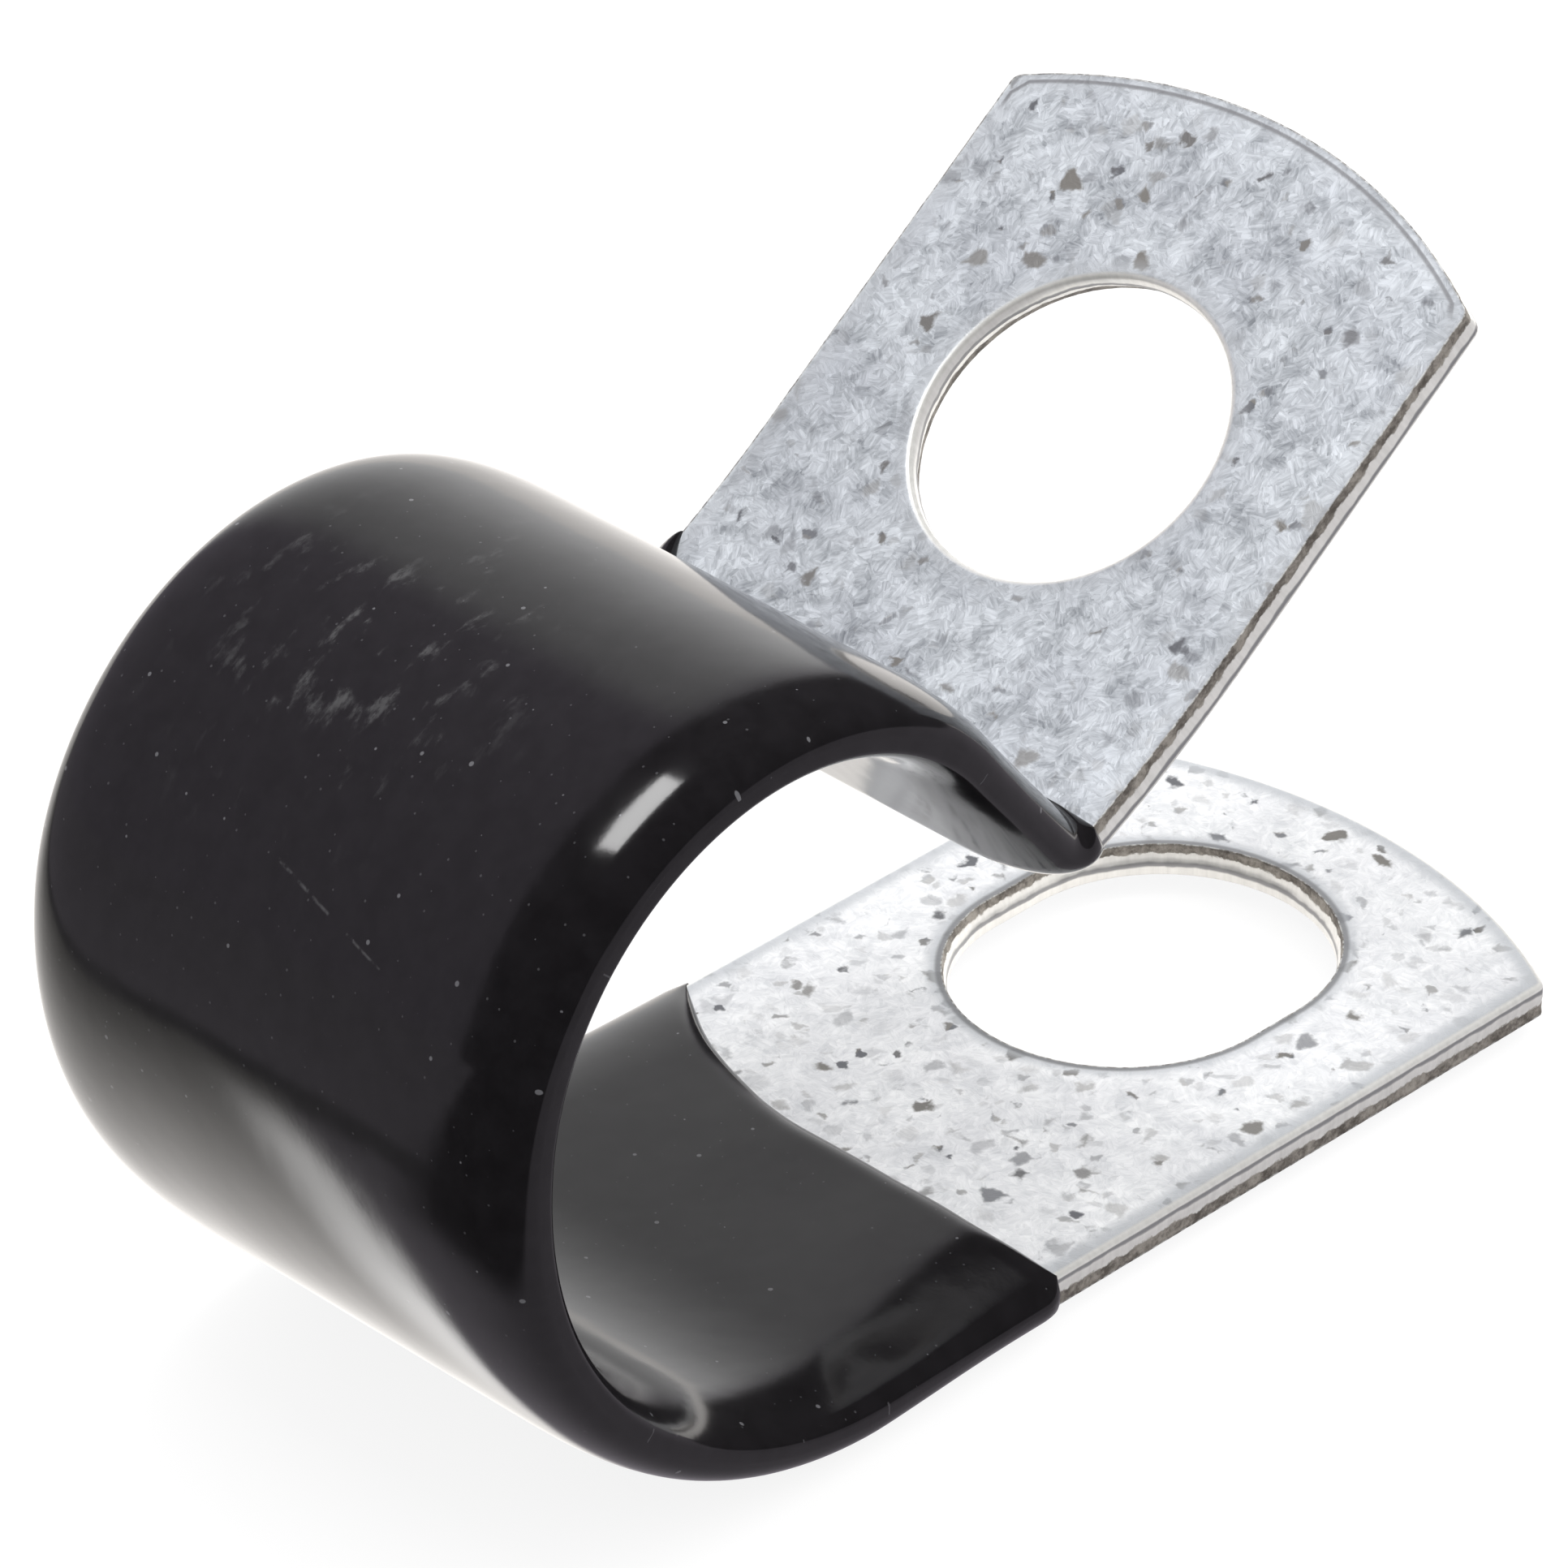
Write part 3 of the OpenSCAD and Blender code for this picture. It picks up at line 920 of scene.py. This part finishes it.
def bend_piece(name, flat_mesh, finish):
    piece = bpy.data.objects.new(name, flat_mesh)
    bpy.context.collection.objects.link(piece)
    bend = piece.modifiers.new("bend", "NODES")
    bend.node_group = bender.tree
    values = {"Line": strap_line, "Finish": finish}
    for item in bend_sockets.items_tree:
        if item.in_out == "INPUT" and item.name in values:
            bend[item.identifier] = values[item.name]
    graph = bpy.context.evaluated_depsgraph_get()
    plain = bpy.data.meshes.new_from_object(piece.evaluated_get(graph))
    piece.modifiers.remove(bend)
    piece.data = plain
    plain.name = name
    plain.polygons.foreach_set("use_smooth", [True] * len(plain.polygons))
    print(name, "has", sum(len(p.vertices) - 2 for p in plain.polygons), "triangles")
    return piece


strap = bend_piece("strap", strip_mesh, zinc)
skin = bend_piece("vinyl_skin", sleeve_mesh, vinyl)
bpy.data.objects.remove(strap_line)

# %% Hand both pieces to the frame
for piece, node, slot in ((strap, "steel_strap", "galvanised_steel"), (skin, "vinyl_coating", "vinyl")):
    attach(piece, "root")
    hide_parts(node)
    print(piece.name, "replaces", node)

# %% [markdown]
# ## Paper to stand on
# A small part like this is photographed on white paper that runs up behind it. Here it is
# one flat square at the height of the part's lowest point. The camera sees it nearly white,
# with the clip's soft shadow, and as plain grey paper it throws some light back up. A curved
# backdrop would also do, but a white world does the same from every side.

# %% Floor
floor_half = 1.0
floor_z = cad_box[0].z
floor_corners = [(x * floor_half, y * floor_half, floor_z)
                 for x, y in ((-1, -1), (1, -1), (1, 1), (-1, 1))]
floor_mesh = bpy.data.meshes.new("floor")
floor_mesh.from_pydata(floor_corners, [], [(0, 1, 2, 3)])
floor = bpy.data.objects.new("floor", floor_mesh)
bpy.context.collection.objects.link(floor)
print("Floor at z", round(floor_z / MM, 3), "mm")

# %% Paper as the camera sees it
floor_paper, pn, paper_shader = new_material("floor_paper")
floor_mesh.materials.append(floor_paper)
pn.plug((0.45, 0.45, 0.45), paper_shader.inputs["Base Color"])
pn.plug(1.0, paper_shader.inputs["Roughness"])
seen_white = pn.add("ShaderNodeEmission", {"Color": (1, 1, 1), "Strength": 0.86})
seen_shade = pn.add("ShaderNodeBsdfDiffuse", {"Color": (0.15, 0.15, 0.15)})
seen_paper = pn.add("ShaderNodeAddShader", {0: seen_white.outputs[0], 1: seen_shade.outputs[0]})
print("Paper seen by the camera:", len(floor_paper.node_tree.nodes), "nodes")

# %% [markdown]
# ## What the gloss mirrors
# Black gloss shows little but its surroundings. In the photograph the skin mirrors a pale
# table near the clip, which falls off into a dim room. Real cards and a dark room round
# the clip would do, but they would shade it too, so these zones are painted on the paper
# as a glow that only glossy rays see: painted reflections of a lit table and a dim room.
# Each zone is a soft step along X or Y, in millimetres.

# %% Paper as the gloss sees it
paper_mm = pn.vector("MULTIPLY", pn.add("ShaderNodeTexCoord").outputs["Object"], (1 / MM, 1 / MM, 0))
paper_at = pn.parts(paper_mm)
paper_x, paper_y = paper_at["X"], paper_at["Y"]
to_back = pn.calc("ADD", paper_x, paper_y)
camera_side = pn.times(pn.ease(pn.calc("MULTIPLY_ADD", paper_x, 0.5, paper_y), -0.5, -4.5),
                       pn.ease(paper_x, -12.0, -16.0))
table_brim = pn.times(pn.ease(paper_x, -22.5, -20.8), pn.ease(paper_x, -17.0, -19.0))
dim = pn.colour(table_brim, (0.36, 0.335, 0.37), (0.16, 0.155, 0.16))
dim = pn.colour(camera_side, dim, (0.04, 0.04, 0.04))
# Painted reflection: the glow of the lit table, with a brighter painted strip of it in front
table_glow = pn.colour(pn.ease(paper_x, -20.0, -6.0), (0.40, 0.39, 0.37), (1.5, 1.45, 1.4))
front_glow_strip = pn.times(pn.ease(to_back, -3.6, -6.2), pn.ease(paper_x, -18.5, -13.0),
                       pn.ease(paper_x, -3.0, -8.0))
table_glow = pn.colour(front_glow_strip, table_glow, (3.4, 3.35, 3.3))
# Painted shadow: near the clip's near rim and in front of it the mirrored table glow is cut to the dim
# tone
outside_clip_shadow = pn.calc("MAXIMUM", pn.ease(paper_x, -3.5, -6.5), pn.ease(paper_y, -5.0, -2.5))
table_glow_share = pn.times(pn.ease(to_back, -8.0, -6.4), pn.ease(paper_x, -19.7, -18.2), outside_clip_shadow)
mirrored_colour = pn.colour(table_glow_share, dim, table_glow)
mirrored = pn.add("ShaderNodeEmission", {"Color": mirrored_colour, "Strength": 1.0})
print("Paper with what gloss mirrors:", len(floor_paper.node_tree.nodes), "nodes")

# %% Join the three ways to see the paper
paper_rays = pn.add("ShaderNodeLightPath").outputs
paper_mix = pn.add("ShaderNodeMixShader", {0: paper_rays["Is Glossy Ray"], 1: paper_shader.outputs[0],
                                           2: mirrored.outputs[0]})
paper_seen = pn.calc("MAXIMUM", paper_rays["Is Camera Ray"], paper_rays["Is Transmission Ray"])
paper_mix = pn.add("ShaderNodeMixShader", {0: paper_seen, 1: paper_mix.outputs[0],
                                           2: seen_paper.outputs[0]})
pn.plug(paper_mix.outputs[0], floor_paper.node_tree.nodes["Material Output"].inputs["Surface"])
print("Paper:", len(floor_paper.node_tree.nodes), "nodes")

# %% [markdown]
# ## Light from all round
# The photograph has soft light that comes mostly from above the far end of the ears. The
# world gives it: one colour for soft light, brighter up and towards +X, one for what the
# gloss mirrors, and plain white for the camera. An image of a studio would do the same with
# less control.

# %% World
world = bpy.data.worlds.new("studio")
bpy.context.scene.world = world
world.use_nodes = True
wn = ShaderNodes(world.node_tree)
sky_rays = wn.add("ShaderNodeLightPath").outputs
sky = wn.parts(wn.add("ShaderNodeTexCoord").outputs["Generated"])
from_ears = wn.times(wn.ease(sky["X"], -0.05, 0.65), wn.ease(sky["Z"], -0.05, 0.4))
plain_light, ear_light = (1.0,) * 3, (3.35,) * 3
soft = wn.colour(from_ears, plain_light, ear_light)
dark_room, dim_room = (0.04,) * 3, (0.36, 0.33, 0.38)
room = wn.colour(wn.ease(sky["Y"], 0.515, 0.545), dark_room, dim_room)
low_backdrop, high_backdrop = (1.3,) * 3, (0.74,) * 3
backdrop = wn.colour(wn.ease(sky["Z"], 0.0, 0.7), low_backdrop, high_backdrop)
backdrop_side = wn.times(wn.ease(sky["X"], 0.28, 0.50), wn.ease(sky["Y"], 0.49, 0.60))
room = wn.colour(backdrop_side, room, backdrop)
light = wn.colour(sky_rays["Is Glossy Ray"], soft, room)
sky_seen = wn.calc("MAXIMUM", sky_rays["Is Camera Ray"], sky_rays["Is Transmission Ray"])
sky_light = world.node_tree.nodes["Background"]
wn.plug(wn.colour(sky_seen, light, (1, 1, 1)), sky_light.inputs["Color"])
wn.plug(1.0, sky_light.inputs["Strength"])
print("World:", len(world.node_tree.nodes), "nodes")

# %% [markdown]
# ## One softbox
# The bright highlight on the loop's near rim is a softbox above it. An area lamp of the
# right size gives that highlight its shape, and it is weak, because the world already lights
# the clip. Its axes are written out, because the usual way to aim a lamp can turn it about
# its own axis when it points nearly straight down.

# %% Lamp
softbox_lamp = bpy.data.lights.new("softbox", "AREA")
softbox_lamp.shape = "RECTANGLE"
softbox_lamp.size, softbox_lamp.size_y = 0.09, 0.042
softbox_lamp.energy = 0.14
softbox = bpy.data.objects.new("softbox", softbox_lamp)
bpy.context.collection.objects.link(softbox)
softbox_distance = 0.2
softbox_way = Vector((-0.12, 0.24, 0.96)).normalized()
softbox_across = softbox_way.cross(Vector((1, 0, 0))).normalized()
softbox_axes = Matrix((softbox_across.cross(softbox_way), softbox_across, softbox_way)).transposed()
softbox.matrix_world = Matrix.Translation(softbox_way * softbox_distance) @ softbox_axes.to_4x4()
print("Softbox at", [round(c, 3) for c in softbox.matrix_world.translation])

# %% [markdown]
# ## The camera
# The photograph was taken with a long lens from above the near side of the loop. Its angles,
# aim and distance come from fitting the CAD part's edges to the photograph. They are turned
# into three axes here, because that keeps the small roll of the camera exact.

# %% Camera
view_azimuth, view_elevation, view_roll = (math.radians(a) for a in (45.613, 32.691, -0.742))
view_aim = Vector((13.194, 6.780, -5.917)) * MM
view_distance = 0.209395
camera_data = bpy.data.cameras.new("camera")
camera_data.sensor_width = 36
camera_data.lens = 232.23
camera_data.clip_start = 0.01
camera = bpy.data.objects.new("camera", camera_data)
bpy.context.collection.objects.link(camera)
bpy.context.scene.camera = camera
forward = Vector((math.cos(view_elevation) * math.cos(view_azimuth),
                  math.cos(view_elevation) * math.sin(view_azimuth), -math.sin(view_elevation)))
level = Vector((forward.y, -forward.x, 0)).normalized()
right = math.cos(view_roll) * level + math.sin(view_roll) * level.cross(forward)
camera_axes = Matrix((right, right.cross(forward), -forward)).transposed()
camera.matrix_world = Matrix.Translation(view_aim - forward * view_distance) @ camera_axes.to_4x4()
print("Camera at", [round(c, 3) for c in camera.matrix_world.translation])

# %% [markdown]
# ## Finish
# The standard view transform shows colours as they are written.

# %% Finish
bpy.context.scene.view_settings.view_transform = "Standard"
